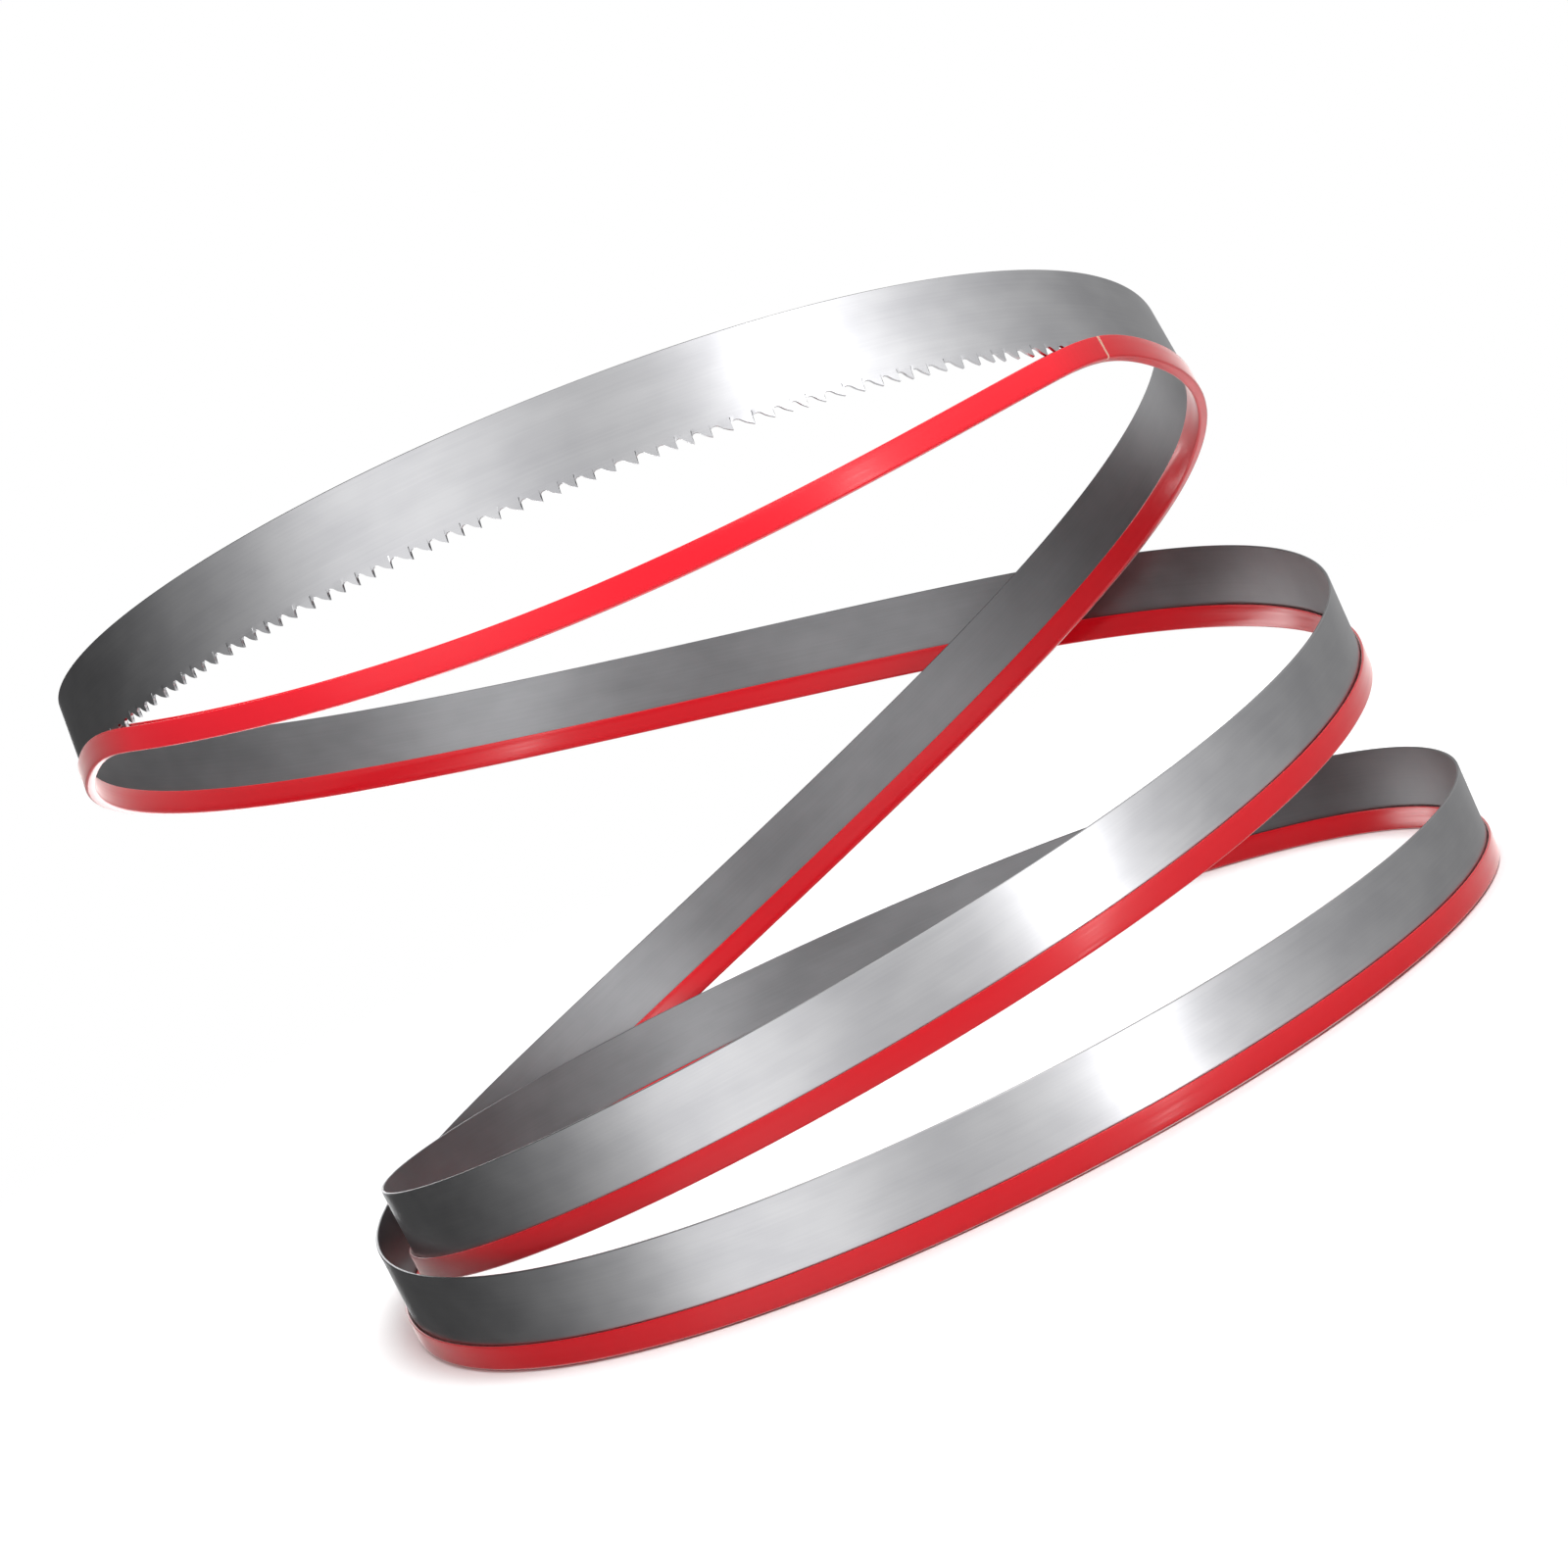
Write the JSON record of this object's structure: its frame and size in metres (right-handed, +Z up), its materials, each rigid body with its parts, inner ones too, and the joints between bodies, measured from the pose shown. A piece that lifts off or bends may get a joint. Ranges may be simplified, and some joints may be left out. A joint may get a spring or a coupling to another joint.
{
  "type": "band saw blade",
  "caption": "Endless toothed steel band saw blade coiled in loose turns, with a red plastic guard over its teeth that has come off along one side.",
  "frame": {"origin": "under the middle of the coil, on the surface that its lowest turn stands on", "axes": "+Z up, +X to the right and +Y away from the viewer in the picture"},
  "size_m": [0.3854, 0.4324, 0.2397],
  "materials": {
    "steel_band": "fine satin rolled steel",
    "red_plastic": "soft glossy moulded plastic"
  },
  "bodies": {
    "root": {"blade": "steel_band", "tooth_guard": "red_plastic"}
  },
  "joints": []
}
